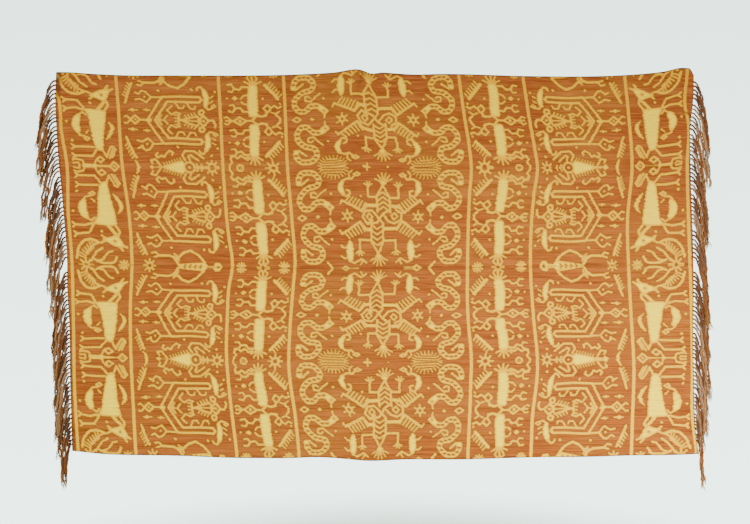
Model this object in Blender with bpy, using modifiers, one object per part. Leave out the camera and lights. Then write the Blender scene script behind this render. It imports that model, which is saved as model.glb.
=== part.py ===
"""A warp-ikat hanging: two woven lengths sewn edge to edge, with a twisted fringe along both short ends.

The cloth hangs flat from its top edge. X runs along the cloth, the front faces -Y and Z is up.
The origin is the middle of the top edge. Sizes in the tables are millimetres; Blender's are metres.
"""

import math
import random
from collections import namedtuple

import bmesh
import bpy
import numpy as np

MM = 0.001

# Driving dimensions, in millimetres
CLOTH_THICKNESS = 1.8
SEAM_GAP = 0.4
EDGE_STRIP = 8.0
EDGE_STRIP_THICKNESS = 2.6
EDGE_GAP = 0.4
STRAND_RADIUS = 1.9
STRAND_SIDES = 3
STRAND_SEGMENTS = 6
ROOT_DEPTH = 3.0

GRID_COLUMNS = 44
GRID_ROWS = 10
SEED = 11

# The outline and the seam, as hung: how far along from the middle, and the height there
Level = namedtuple("Level", "along height")
TOP_EDGE = [
    Level(-1276, 4), Level(-1204, 2), Level(-1149, -2), Level(-1032, -8), Level(-796, -9.6),
    Level(-504, -9.6), Level(-348, -6.8), Level(-172, 2), Level(-60, 12), Level(-20, -1.6),
    Level(24, 2), Level(80, -1.6), Level(148, -5.6), Level(256, -3.6), Level(612, -12),
    Level(900, -12), Level(1040, -5.2), Level(1148, 5.6), Level(1236, 20), Level(1256, 16),
    Level(1272, -10),
]
SEAM = [
    Level(-1237, -764), Level(-900, -770), Level(-584, -778), Level(336, -778),
    Level(800, -771), Level(1270, -766),
]
BOTTOM_EDGE = [
    Level(-1214, -1511), Level(-1104, -1520), Level(-956, -1526), Level(-796, -1531),
    Level(-564, -1540), Level(-380, -1540), Level(-232, -1537), Level(-116, -1543),
    Level(-28, -1549), Level(120, -1546), Level(336, -1546), Level(612, -1537),
    Level(900, -1534), Level(1040, -1528), Level(1276, -1523),
]

# The two short ends, as hung: the drop below the origin, and how far along the end is there
End = namedtuple("End", "drop along")
LEFT_END = [
    End(-10, -1279), End(112, -1283), End(228, -1278), End(360, -1269), End(460, -1259),
    End(564, -1250), End(664, -1241), End(724, -1237), End(864, -1235), End(1004, -1227),
    End(1232, -1223), End(1352, -1219), End(1515, -1214),
]
RIGHT_END = [
    End(-20, 1272), End(128, 1267), End(204, 1258), End(332, 1258), End(768, 1270),
    End(1204, 1270), End(1488, 1284), End(1525, 1291),
]

# Soft folds that stand off the wall: their middle, half sizes, slant and how far they stand out
Fold = namedtuple("Fold", "along drop half_width half_height slant out")
FOLDS = [
    Fold(-1030, 1540, 150, 340, 0.05, 24),
    Fold(-340, 1550, 75, 260, 0.00, 12),
    Fold(-50, 1550, 95, 320, -0.04, 18),
    Fold(620, 1545, 190, 260, 0.00, 7),
    Fold(1150, 1540, 130, 360, -0.06, 24),
    Fold(-640, 420, 230, 300, 0.10, 9),
    Fold(560, 520, 260, 330, -0.10, 8),
    Fold(60, 940, 220, 300, 0.00, 6),
    Fold(-820, 1050, 170, 260, 0.00, 5),
    Fold(-60, 20, 34, 150, 0.20, 7),
    Fold(-1235, 60, 40, 130, 0.15, 6),
    Fold(1215, 70, 45, 140, -0.15, 6),
]

# Fringe clumps from the top down: the span of their roots, strands, reach sideways, and lowest tip
Clump = namedtuple("Clump", "root_top root_bottom strands reach tip")
LEFT_UPPER = [
    Clump(22, 108, 5, 68, 310),
    Clump(114, 200, 6, 62, 425),
    Clump(206, 300, 6, 58, 465),
    Clump(308, 400, 6, 56, 600),
    Clump(408, 520, 7, 48, 770),
    Clump(528, 640, 7, 46, 900),
    Clump(648, 744, 6, 50, 985),
]
LEFT_LOWER = [
    Clump(790, 862, 5, 52, 1135),
    Clump(868, 980, 7, 42, 1245),
    Clump(988, 1100, 7, 48, 1365),
    Clump(1108, 1220, 7, 44, 1476),
    Clump(1228, 1345, 7, 36, 1545),
    Clump(1353, 1490, 8, 22, 1662),
]
RIGHT_UPPER = [
    Clump(28, 108, 5, 56, 352),
    Clump(120, 230, 7, 54, 470),
    Clump(238, 350, 7, 60, 650),
    Clump(358, 470, 7, 54, 705),
    Clump(478, 604, 8, 48, 865),
    Clump(622, 744, 7, 52, 1030),
]
RIGHT_LOWER = [
    Clump(790, 900, 7, 52, 1165),
    Clump(908, 1025, 7, 52, 1310),
    Clump(1033, 1145, 7, 46, 1385),
    Clump(1153, 1265, 7, 40, 1455),
    Clump(1273, 1348, 5, 30, 1510),
    Clump(1354, 1424, 5, 24, 1645),
    Clump(1430, 1478, 2, 22, 1676),
]

# How a strand runs from its root: steep at first sideways, then down, in layers off the wall
ROOT_CURL = 0.45
GATHER = 0.30
FAN = 2.0
FAN_RUN = 110.0
LAYER_STEP = 4.3
LAYERS = 3
CLUMP_STEP = 13.0
LAYER_RUN = 30.0
TIP_SPREAD = 16.0

# How a strand falls: points closer together near the root, gathered by a share of the fall
FALL_BIAS = 1.5
GATHER_SHARE = 0.6
LIFT_BIAS = 0.8
SURFACE_CLEARANCE = 1.0
TIP_TAPER = 0.75
WELD_DISTANCE = 1e-6

# A point's place along the cloth depends on its height, so it is worked out in a few passes
FIT_PASSES = 4
NOMINAL_LEFT = -1250.0
NOMINAL_LENGTH = 2520.0


def smooth_line(rows, at):
    """Heights of a smooth line through the rows, at the given places."""
    place, height = np.array(rows, dtype=float).T
    slope = np.gradient(height, place)
    cell = np.clip(np.searchsorted(place, at) - 1, 0, len(place) - 2)
    width = place[cell + 1] - place[cell]
    part = np.clip((at - place[cell]) / width, 0.0, 1.0)
    rest = 1.0 - part
    return (
        height[cell] * (1 + 2 * part) * rest**2
        + height[cell + 1] * (3 - 2 * part) * part**2
        + slope[cell] * width * part * rest**2
        - slope[cell + 1] * width * part**2 * rest
    )


def relief(along, drop):
    """How far the cloth stands out from the plane it is pinned in."""
    out = 0.0
    for fold in FOLDS:
        across = (along - fold.along - fold.slant * (drop - fold.drop)) / fold.half_width
        down = (drop - fold.drop) / fold.half_height
        out = out + fold.out * np.exp(-(across**2) - down**2)
    return out


def cloth_point(share, inset, part, upper_line, lower_line, trim_top=0.0, trim_bottom=0.0):
    """A point of the hung cloth: a share of its length plus an inset, and a part of the way down."""
    along = NOMINAL_LEFT + NOMINAL_LENGTH * share
    for _ in range(FIT_PASSES):
        top = smooth_line(upper_line, along) - trim_top
        bottom = smooth_line(lower_line, along) + trim_bottom
        height = top + (bottom - top) * part
        left = smooth_line(LEFT_END, -height)
        right = smooth_line(RIGHT_END, -height)
        along = left + (right - left) * share + inset
    return along, -relief(along, -height), height


def woven_material(name, color):
    material = bpy.data.materials.new(name)
    material.use_nodes = True
    shader = material.node_tree.nodes["Principled BSDF"]
    shader.inputs["Base Color"].default_value = color
    shader.inputs["Roughness"].default_value = 0.9
    shader.inputs["Metallic"].default_value = 0.0
    return material


def add_sheet(name, columns, lines, thickness, material, collection):
    """A sheet on a grid of (share, inset) columns between two level lines, thickened both ways."""
    upper_line, lower_line, trim_top, trim_bottom = lines
    mesh = bpy.data.meshes.new(name)
    shape = bmesh.new()
    rows = []
    for row in range(GRID_ROWS + 1):
        part = row / GRID_ROWS
        points = [
            cloth_point(share, inset, part, upper_line, lower_line, trim_top, trim_bottom)
            for share, inset in columns
        ]
        rows.append([shape.verts.new([float(value) * MM for value in point]) for point in points])
    for above, below in zip(rows, rows[1:]):
        for corner in range(len(columns) - 1):
            face = (above[corner], below[corner], below[corner + 1], above[corner + 1])
            shape.faces.new(face)
    shape.to_mesh(mesh)
    shape.free()
    mesh.materials.append(material)
    sheet = bpy.data.objects.new(name, mesh)
    collection.objects.link(sheet)
    solid = sheet.modifiers.new("thickness", "SOLIDIFY")
    solid.thickness = thickness * MM
    solid.offset = 0.0
    return sheet


def strand_path(clump, order, member, side, jitter):
    """The points of one strand, from inside the cloth's end, out sideways and down to its tip."""
    end = LEFT_END if side < 0 else RIGHT_END
    spacing = (clump.root_bottom - clump.root_top) / clump.strands
    root = clump.root_top + spacing * (member + 0.5)
    middle = (clump.root_top + clump.root_bottom) / 2
    fall = clump.tip - middle
    tip = clump.tip - TIP_SPREAD * jitter.random()
    layer = (member * 2) % LAYERS
    stand_off = SURFACE_CLEARANCE + layer * LAYER_STEP + (order % 2) * CLUMP_STEP
    edge = float(smooth_line(end, root))
    surface = float(relief(edge, root))
    points = [(edge - side * ROOT_DEPTH, -surface, -root)]
    for step in range(1, STRAND_SEGMENTS + 1):
        drop = (tip - root) * (step / STRAND_SEGMENTS) ** FALL_BIAS
        own = clump.reach * (drop / fall) ** ROOT_CURL
        below_middle = max(root + drop - middle, 0.0)
        shared = clump.reach * (below_middle / fall) ** ROOT_CURL
        pull = GATHER * min(drop / (GATHER_SHARE * fall), 1.0)
        outer = FAN * (clump.strands - 1 - member) * min(drop / FAN_RUN, 1.0)
        out = own + (shared - own) * pull + outer
        away = stand_off * min(drop / LAYER_RUN, 1.0) ** LIFT_BIAS
        points.append((edge + side * out, -surface - away, -(root + drop)))
    return points


def fringe_paths(clumps, side):
    jitter = random.Random(SEED + side)
    paths = []
    for order, clump in enumerate(clumps):
        for member in range(clump.strands):
            paths.append(strand_path(clump, order, member, side, jitter))
    return paths


def strand_section(collection):
    """The small closed triangle that every strand is drawn along."""
    data = bpy.data.curves.new("strand_section", "CURVE")
    data.dimensions = "2D"
    ring = data.splines.new("POLY")
    ring.points.add(STRAND_SIDES - 1)
    ring.use_cyclic_u = True
    for corner in range(STRAND_SIDES):
        turn = -2 * math.pi * corner / STRAND_SIDES
        ring.points[corner].co = (
            STRAND_RADIUS * MM * math.cos(turn), STRAND_RADIUS * MM * math.sin(turn), 0, 1)
    section = bpy.data.objects.new("strand_section", data)
    section.hide_render = True
    section.display_type = "WIRE"
    collection.objects.link(section)
    return section


def add_strands(name, paths, section, collection):
    """All strands of one fringe as one mesh, made from a curve with a spline for each strand."""
    data = bpy.data.curves.new(name, "CURVE")
    data.dimensions = "3D"
    data.bevel_mode = "OBJECT"
    data.bevel_object = section
    data.use_fill_caps = True
    for path in paths:
        spline = data.splines.new("POLY")
        spline.points.add(len(path) - 1)
        for index, (along, depth, height) in enumerate(path):
            spline.points[index].co = (along * MM, depth * MM, height * MM, 1)
            spline.points[index].radius = TIP_TAPER if index == len(path) - 1 else 1.0
    curve = bpy.data.objects.new(name, data)
    collection.objects.link(curve)
    bpy.context.view_layer.update()
    graph = bpy.context.evaluated_depsgraph_get()
    mesh = bpy.data.meshes.new_from_object(curve.evaluated_get(graph))
    shape = bmesh.new()
    shape.from_mesh(mesh)
    bmesh.ops.remove_doubles(shape, verts=shape.verts, dist=WELD_DISTANCE)
    bmesh.ops.recalc_face_normals(shape, faces=shape.faces)
    shape.to_mesh(mesh)
    shape.free()
    placed = curve.matrix_world.copy()
    bpy.data.objects.remove(curve)
    strands = bpy.data.objects.new(name, mesh)
    strands.matrix_world = placed
    strands.hide_render = True
    strands.display_type = "WIRE"
    collection.objects.link(strands)
    return strands


def add_fringe(name, clumps, side, lines, material, collection, helpers, section):
    """One end's fringe: a narrow strip beside the cloth's end, with its strands joined to it."""
    if side < 0:
        columns = [(0.0, 0.0), (0.0, EDGE_STRIP)]
    else:
        columns = [(1.0, -EDGE_STRIP), (1.0, 0.0)]
    strip = add_sheet(name, columns, lines, EDGE_STRIP_THICKNESS, material, collection)
    strands = add_strands(name + "_strands", fringe_paths(clumps, side), section, helpers)
    join = strip.modifiers.new("strands", "BOOLEAN")
    join.operation = "UNION"
    join.solver = "EXACT"
    join.object = strands
    return strip


def new_collection(name):
    collection = bpy.data.collections.new(name)
    bpy.context.scene.collection.children.link(collection)
    return collection


def main():
    for old in list(bpy.data.objects):
        bpy.data.objects.remove(old, do_unlink=True)
    cloth = new_collection("ikat_cloth")
    helpers = new_collection("helpers")

    woven = woven_material("ikat_weave", (0.55, 0.24, 0.06, 1.0))
    twisted = woven_material("twisted_warp", (0.27, 0.10, 0.035, 1.0))

    upper = (TOP_EDGE, SEAM, 0.0, SEAM_GAP / 2)
    lower = (SEAM, BOTTOM_EDGE, SEAM_GAP / 2, 0.0)
    inset = EDGE_STRIP + EDGE_GAP
    columns = []
    for column in range(GRID_COLUMNS + 1):
        share = column / GRID_COLUMNS
        columns.append((share, inset * (1 - 2 * share)))
    add_sheet("panel_upper", columns, upper, CLOTH_THICKNESS, woven, cloth)
    add_sheet("panel_lower", columns, lower, CLOTH_THICKNESS, woven, cloth)

    section = strand_section(helpers)
    ends = [
        ("fringe_upper_left", LEFT_UPPER, -1, upper),
        ("fringe_lower_left", LEFT_LOWER, -1, lower),
        ("fringe_upper_right", RIGHT_UPPER, 1, upper),
        ("fringe_lower_right", RIGHT_LOWER, 1, lower),
    ]
    for name, clumps, side, lines in ends:
        add_fringe(name, clumps, side, lines, twisted, cloth, helpers, section)


main()
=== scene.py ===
import math
import random
from collections import namedtuple

import bpy
import numpy as np
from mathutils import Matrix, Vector


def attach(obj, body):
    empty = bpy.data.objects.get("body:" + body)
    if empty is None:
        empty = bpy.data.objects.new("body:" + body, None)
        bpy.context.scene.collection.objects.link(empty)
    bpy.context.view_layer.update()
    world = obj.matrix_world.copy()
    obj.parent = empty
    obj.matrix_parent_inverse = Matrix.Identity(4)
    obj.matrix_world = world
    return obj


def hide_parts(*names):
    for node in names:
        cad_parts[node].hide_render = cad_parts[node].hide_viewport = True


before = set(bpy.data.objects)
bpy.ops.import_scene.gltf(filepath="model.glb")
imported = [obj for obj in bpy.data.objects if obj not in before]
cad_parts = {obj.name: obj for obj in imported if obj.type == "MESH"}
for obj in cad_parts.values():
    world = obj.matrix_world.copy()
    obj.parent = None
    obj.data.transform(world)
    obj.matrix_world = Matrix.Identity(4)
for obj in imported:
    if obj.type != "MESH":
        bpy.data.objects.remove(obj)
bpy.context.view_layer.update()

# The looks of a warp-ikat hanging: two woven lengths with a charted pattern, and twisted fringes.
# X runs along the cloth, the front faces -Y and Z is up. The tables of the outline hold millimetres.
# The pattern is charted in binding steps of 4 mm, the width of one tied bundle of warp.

MM = 0.001
STEP = 4.0
FULL_TURN = 2 * math.pi


def table(kind, *rows):
    """Rows with named columns."""
    return [kind(*row) for row in rows]


# The cloth as hung, in millimetres: the same driving values as the solids
Level = namedtuple("Level", "along height")
TOP_EDGE = table(
    Level, (-1276, 4), (-1204, 2), (-1149, -2), (-1032, -8), (-796, -9.6), (-504, -9.6), (-348, -6.8),
    (-172, 2), (-60, 12), (-20, -1.6), (24, 2), (80, -1.6), (148, -5.6), (256, -3.6), (612, -12),
    (900, -12), (1040, -5.2), (1148, 5.6), (1236, 20), (1256, 16), (1272, -10),
)
SEAM = table(
    Level, (-1237, -764), (-900, -770), (-584, -778), (336, -778), (800, -771), (1270, -766),
)
BOTTOM_EDGE = table(
    Level, (-1214, -1511), (-1104, -1520), (-956, -1526), (-796, -1531), (-564, -1540), (-380, -1540),
    (-232, -1537), (-116, -1543), (-28, -1549), (120, -1546), (336, -1546), (612, -1537), (900, -1534),
    (1040, -1528), (1276, -1523),
)
End = namedtuple("End", "drop along")
LEFT_END = table(
    End, (-10, -1279), (112, -1283), (228, -1278), (360, -1269), (460, -1259), (564, -1250), (664, -1241),
    (724, -1237), (864, -1235), (1004, -1227), (1232, -1223), (1352, -1219), (1515, -1214),
)
RIGHT_END = table(
    End, (-20, 1272), (128, 1267), (204, 1258), (332, 1258), (768, 1270), (1204, 1270), (1488, 1284),
    (1525, 1291),
)
Fold = namedtuple("Fold", "along drop half_width half_height slant out")
FOLDS = table(
    Fold,
    (-1030, 1540, 150, 340, 0.05, 24),
    (-340, 1550, 75, 260, 0.00, 12),
    (-50, 1550, 95, 320, -0.04, 18),
    (620, 1545, 190, 260, 0.00, 7),
    (1150, 1540, 130, 360, -0.06, 24),
    (-640, 420, 230, 300, 0.10, 9),
    (560, 520, 260, 330, -0.10, 8),
    (60, 940, 220, 300, 0.00, 6),
    (-820, 1050, 170, 260, 0.00, 5),
    (-60, 20, 34, 150, 0.20, 7),
    (-1235, 60, 40, 130, 0.15, 6),
    (1215, 70, 45, 140, -0.15, 6),
)

# Gold stripes between the bands, from left to right: how far along each stands at a drop
Stripe = namedtuple("Stripe", "drop along")
STRIPES = [
    table(Stripe, (-10, -1298), (60, -1287), (108, -1269), (228, -1259), (360, -1237), (564, -1231),
          (724, -1218), (1004, -1210), (1228, -1206), (1510, -1190)),
    table(Stripe, (12, -1041), (124, -1032), (360, -1016), (592, -985), (768, -976), (924, -982),
          (1100, -980), (1336, -968), (1512, -957)),
    table(Stripe, (12, -631), (184, -621), (360, -612), (652, -589), (768, -574), (864, -589), (984, -595),
          (1128, -598), (1276, -586), (1516, -557)),
    table(Stripe, (12, -370), (184, -362), (360, -355), (592, -336), (768, -324), (864, -332), (1040, -345),
          (1160, -349), (1392, -320), (1512, -308)),
    table(Stripe, (12, 331), (164, 352), (304, 374), (376, 381), (484, 374), (768, 366), (964, 367),
          (1140, 381), (1248, 379), (1532, 367)),
    table(Stripe, (20, 588), (164, 610), (304, 634), (376, 645), (484, 631), (768, 617), (964, 629),
          (1176, 646), (1392, 624), (1528, 619)),
    table(Stripe, (16, 995), (164, 1010), (376, 1024), (592, 1006), (768, 1010), (964, 1020), (1176, 1031),
          (1392, 1024), (1520, 1020)),
    table(Stripe, (-8, 1244), (148, 1238), (176, 1245), (376, 1245), (592, 1250), (768, 1256), (964, 1262),
          (1176, 1264), (1392, 1264), (1504, 1278)),
]
STRIPE_HALF_WIDTH = 1.6

# Fringe clumps from the top down, as in the solids
Clump = namedtuple("Clump", "root_top root_bottom strands reach tip")
LEFT_UPPER = table(
    Clump,
    (22, 108, 5, 68, 310),
    (114, 200, 6, 62, 425),
    (206, 300, 6, 58, 465),
    (308, 400, 6, 56, 600),
    (408, 520, 7, 48, 770),
    (528, 640, 7, 46, 900),
    (648, 744, 6, 50, 985),
)
LEFT_LOWER = table(
    Clump,
    (790, 862, 5, 52, 1135),
    (868, 980, 7, 42, 1245),
    (988, 1100, 7, 48, 1365),
    (1108, 1220, 7, 44, 1476),
    (1228, 1345, 7, 36, 1545),
    (1353, 1490, 8, 22, 1662),
)
RIGHT_UPPER = table(
    Clump,
    (28, 108, 5, 56, 352),
    (120, 230, 7, 54, 470),
    (238, 350, 7, 60, 650),
    (358, 470, 7, 54, 705),
    (478, 604, 8, 48, 865),
    (622, 744, 7, 52, 1030),
)
RIGHT_LOWER = table(
    Clump,
    (790, 900, 7, 52, 1165),
    (908, 1025, 7, 52, 1310),
    (1033, 1145, 7, 46, 1385),
    (1153, 1265, 7, 40, 1455),
    (1273, 1348, 5, 30, 1510),
    (1354, 1424, 5, 24, 1645),
    (1430, 1478, 2, 22, 1676),
)
ROOT_DEPTH = 3.0
ROOT_CURL = 0.45
ROOT_CROWDING = 1.15
LIFT_CURL = 0.8
GATHER = 0.30
FAN = 2.0
FAN_RUN = 110.0
LAYER_STEP = 4.3
LAYERS = 3
CLUMP_STEP = 13.0
LAYER_RUN = 30.0
TIP_SPREAD = 16.0
SEED = 11

# Each strand is three yarns laid round each other; they part near the tip
YARNS = 3
YARN_RADIUS = 2.0
LAY_RADIUS = 2.3
LAY_LENGTH = 46.0
ROOT_SWELL = 0.45
ROOT_RUN = 30.0
LOOSE_TIP = (25.0, 90.0)
TIP_PARTING = 9.0
STRAND_STEP = 4.6
SWAY = 2.2
SWAY_RUN = 60.0
SWAY_WAVES = (120.0, 60.0, 34.0)
TIP_HAIRS = 3
STRAY_HAIRS = 2
HAIR_PLACES = (0, 0.3, 0.6, 0.8, 1)
HAIR_RADIUS = 0.38

# The cords along the edges and the short ends, and the stitches of the join
TWINING_LAY = 9.0
TWINING_RADIUS = 1.1
CORD_RADIUS = 0.85
SELVEDGE_RADIUS = 1.7
SEAM_DROP = 770.0
STITCH_PITCH = 7.0
STITCH_RADIUS = 0.5

# The dense sheets
CREASE_DEPTH = 2.5
SHEET_COLUMNS = 516
SHEET_ROWS = 192
HALF_REPEAT = 97.0
SLOPE_LIMIT = 1.2

# The woven lengths. The flat size is in metres; the axis is where the pattern turns over, as a share of
# the way down, with the binding steps above and below it. The runs are the drops that the end cords span.
Length = namedtuple(
    "Length", "name node top bottom flat axis steps_above steps_below left_run right_run clumps"
)
LENGTHS = [
    Length("upper", "panel_upper", TOP_EDGE, SEAM, (2.545, 0.778), 0.482, 94.0, HALF_REPEAT,
           (4, 766), (10, 762), (LEFT_UPPER, RIGHT_UPPER)),
    Length("lower", "panel_lower", SEAM, BOTTOM_EDGE, (2.515, 0.768), 0.490, HALF_REPEAT, 96.0,
           (774, 1508), (772, 1518), (LEFT_LOWER, RIGHT_LOWER)),
]

# Band widths in binding steps; the middle band is counted both ways from its centre
DEER_BAND = 58.0
ARCH_BAND = 101.0
PAIR_BAND = 65.0
MIDDLE_HALF = 90.0


def smooth_line(rows, at):
    """Heights of a smooth line through the rows, at the given places."""
    place, height = np.array(rows, dtype=float).T
    slope = np.gradient(height, place)
    cell = np.clip(np.searchsorted(place, at) - 1, 0, len(place) - 2)
    width = place[cell + 1] - place[cell]
    part = np.clip((at - place[cell]) / width, 0.0, 1.0)
    rest = 1.0 - part
    return (
        height[cell] * (1 + 2 * part) * rest**2
        + height[cell + 1] * (3 - 2 * part) * part**2
        + slope[cell] * width * part * rest**2
        - slope[cell + 1] * width * part**2 * rest
    )


def relief(along, drop):
    """How far the cloth stands out from the plane it hangs in."""
    out = 0.0
    for fold in FOLDS:
        across = (along - fold.along - fold.slant * (drop - fold.drop)) / fold.half_width
        down = (drop - fold.drop) / fold.half_height
        out = out + fold.out * np.exp(-(across**2) - down**2)
    return out


def ripples(along, drop):
    """Small unevenness of handwoven cloth: soft cockles along the weft and puckers by the seam."""
    cockle = 0.55 * np.sin(along / 61 + 1.3 * np.sin(drop / 190)) * np.sin(drop / 83 + 0.8)
    slack = 0.5 * np.sin(along / 23 + drop / 310) * np.exp(-((drop - 1540) / 120) ** 2)
    seam_height = -smooth_line(SEAM, along)
    pucker = 0.7 * np.exp(-(((drop - seam_height) / 14) ** 2)) * np.sin(along / 9 + np.sin(along / 37))
    dip = -1.1 * np.exp(-(((drop - seam_height) / 7) ** 2))
    return cockle + slack + pucker + dip


def cloth_grid(columns, rows, upper_line, lower_line):
    """Arrays of rows by columns on the hung cloth: along, drop, share of the length, part of the way down."""
    share, part = np.meshgrid(np.linspace(0, 1, columns + 1), np.linspace(0, 1, rows + 1))
    along = smooth_line(LEFT_END, 0 * share) * (1 - share) + smooth_line(RIGHT_END, 0 * share) * share
    for _ in range(4):
        top = smooth_line(upper_line, along)
        bottom = smooth_line(lower_line, along)
        height = top + (bottom - top) * part
        left = smooth_line(LEFT_END, -height)
        right = smooth_line(RIGHT_END, -height)
        along = left + (right - left) * share
    return along, -height, share, part


# Drawing in binding steps. REACH is how far from a mark its depth is still worked out.
REACH = 5.0
THIN_STROKE = 2.0
SOFT_RIM = 0.6
SHARP_RIM = 0.4
CORNER_CUT = 0.18
RING_CORNERS = 16
SPOT_STEP = 4.9
SPOT_HALF = 1.1
SPOT_WIDTH = 1.9
BORDER_GAP = 2.2
Copy = namedtuple("Copy", "turn_u shift_u turn_w shift_w")
PLAIN = Copy(1, 0, 1, 0)
# The level that each pair of mirrored figures shares
AXIS = 48
MIRRORED = [PLAIN, Copy(1, 0, -1, 2 * AXIS)]


def rounded(points, closed):
    """The same line with its corners cut once, as tied bundles step round a bend."""
    points = list(points)
    ring = points + points[:1] if closed else points
    cut = []
    for (u1, w1), (u2, w2) in zip(ring, ring[1:]):
        for near in (1 - CORNER_CUT, CORNER_CUT):
            cut.append((near * u1 + (1 - near) * u2, near * w1 + (1 - near) * w2))
    return cut if closed else points[:1] + cut + points[-1:]


def corners(u, w, half_u, half_w):
    """The four corners of a diamond."""
    return [(u - half_u, w), (u, w - half_w), (u + half_u, w), (u, w + half_w)]


def outline_distance(u, w, points):
    """Distance from each place to the nearest piece of a line."""
    nearest = np.full(u.shape, np.inf)
    for (u1, w1), (u2, w2) in zip(points, points[1:]):
        length = max((u2 - u1) ** 2 + (w2 - w1) ** 2, 1e-9)
        share = np.clip(((u - u1) * (u2 - u1) + (w - w1) * (w2 - w1)) / length, 0, 1)
        distance = np.hypot(u - u1 - share * (u2 - u1), w - w1 - share * (w2 - w1))
        nearest = np.minimum(nearest, distance)
    return nearest


def within(u, w, points):
    """Whether each place lies inside a closed line."""
    inside = np.zeros(u.shape, bool)
    for (u1, w1), (u2, w2) in zip(points, points[1:]):
        if w1 == w2:
            continue
        crossing = ((w1 > w) != (w2 > w)) & (u < (u2 - u1) * (w - w1) / (w2 - w1) + u1)
        inside ^= crossing
    return inside


class Pen:
    """Draws one band of the pattern; depth is how far each place lies inside the pale figures."""

    def __init__(self, across, down):
        self.across = across
        self.down = down
        self.depth = np.full(across.shape, -REACH)
        self.copies = [PLAIN]

    def put(self, points, width, filled=False, cut=False):
        for copy in self.copies:
            shape = [(copy.turn_u * u + copy.shift_u, copy.turn_w * w + copy.shift_w) for u, w in points]
            if filled:
                shape.append(shape[0])
            us, ws = zip(*shape)
            near = (self.across > min(us) - REACH) & (self.across < max(us) + REACH)
            near &= (self.down > min(ws) - REACH) & (self.down < max(ws) + REACH)
            where = np.nonzero(near)[0]
            u, w = self.across[where], self.down[where]
            gap = outline_distance(u, w, shape)
            if filled:
                gap = np.where(within(u, w, shape), -gap, gap)
            depth = width / 2 - gap
            if cut:
                self.depth[where] = np.minimum(self.depth[where], -depth)
            else:
                self.depth[where] = np.maximum(self.depth[where], depth)

    def line(self, *points, width):
        self.put(rounded(points, False), width)

    def straight(self, *points, width=THIN_STROKE, cut=False):
        self.put(points, width, cut=cut)

    def strokes(self, width, *lines):
        """Several lines of one width with sharp corners."""
        for points in lines:
            self.put(points, width)

    def area(self, *points):
        self.put(rounded(points, True), SOFT_RIM, filled=True)

    def facet(self, *points):
        """A filled figure with sharp corners."""
        self.put(points, SHARP_RIM, filled=True)

    def dot(self, u, w, radius, cut=False):
        self.put([(u, w), (u + 0.01, w)], 2 * radius, cut=cut)

    def dots(self, radius, *places):
        """Several round dots of one size."""
        for u, w in places:
            self.dot(u, w, radius)

    def ring(self, u, w, radius, width, dot=0.0):
        turns = [FULL_TURN * corner / RING_CORNERS for corner in range(RING_CORNERS + 1)]
        self.put([(u + radius * math.cos(turn), w + radius * math.sin(turn)) for turn in turns], width)
        if dot:
            self.dot(u, w, dot)

    def diamond(self, u, w, half_u, half_w, eye=0.0):
        self.facet(*corners(u, w, half_u, half_w))
        if eye:
            self.dot(u, w, eye, cut=True)

    def open_diamond(self, u, w, half_u, half_w, width=THIN_STROKE, dot=0.0):
        outline = corners(u, w, half_u, half_w)
        self.put(outline + outline[:1], width)
        if dot:
            self.dot(u, w, dot)

    def rays(self, u, w, count, inner, outer, turn=0.0, spread=FULL_TURN, width=THIN_STROKE):
        """Short straight rays round a middle, over the whole turn or only a part of it."""
        for ray in range(count):
            place = ray / count if spread == FULL_TURN else ray / (count - 1) - 0.5
            angle = turn + spread * place
            start = (u + inner * math.cos(angle), w + inner * math.sin(angle))
            end = (u + outer * math.cos(angle), w + outer * math.sin(angle))
            self.straight(start, end, width=width)

    def comb(self, start, end, teeth, lean, width):
        """Parallel teeth that leave a line at even steps."""
        for tooth in range(teeth):
            share = tooth / (teeth - 1)
            u = start[0] + (end[0] - start[0]) * share
            w = start[1] + (end[1] - start[1]) * share
            self.straight((u, w), (u + lean[0], w + lean[1]), width=width)

    def spots(self, points):
        """Dark level spots at even steps down the middle of a broad stroke."""
        path = np.array(rounded(points, False))
        run = run_along(path)
        for at in np.arange(3.0, run[-1] - 2.0, SPOT_STEP):
            u, w = (float(np.interp(at, run, path[:, axis])) for axis in (0, 1))
            self.straight((u - SPOT_HALF, w), (u + SPOT_HALF, w), width=SPOT_WIDTH, cut=True)


Leg = namedtuple("Leg", "hip knee foot")
DEER_LEGS = table(
    Leg,
    ((25, 56), (19, 66), (7, 67)),
    ((22, 57), (15, 59), (6, 58)),
    ((31, 19), (26, 19), (11, 18.5)),
    ((34, 17), (28, 9.5), (10, 9)),
)


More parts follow.
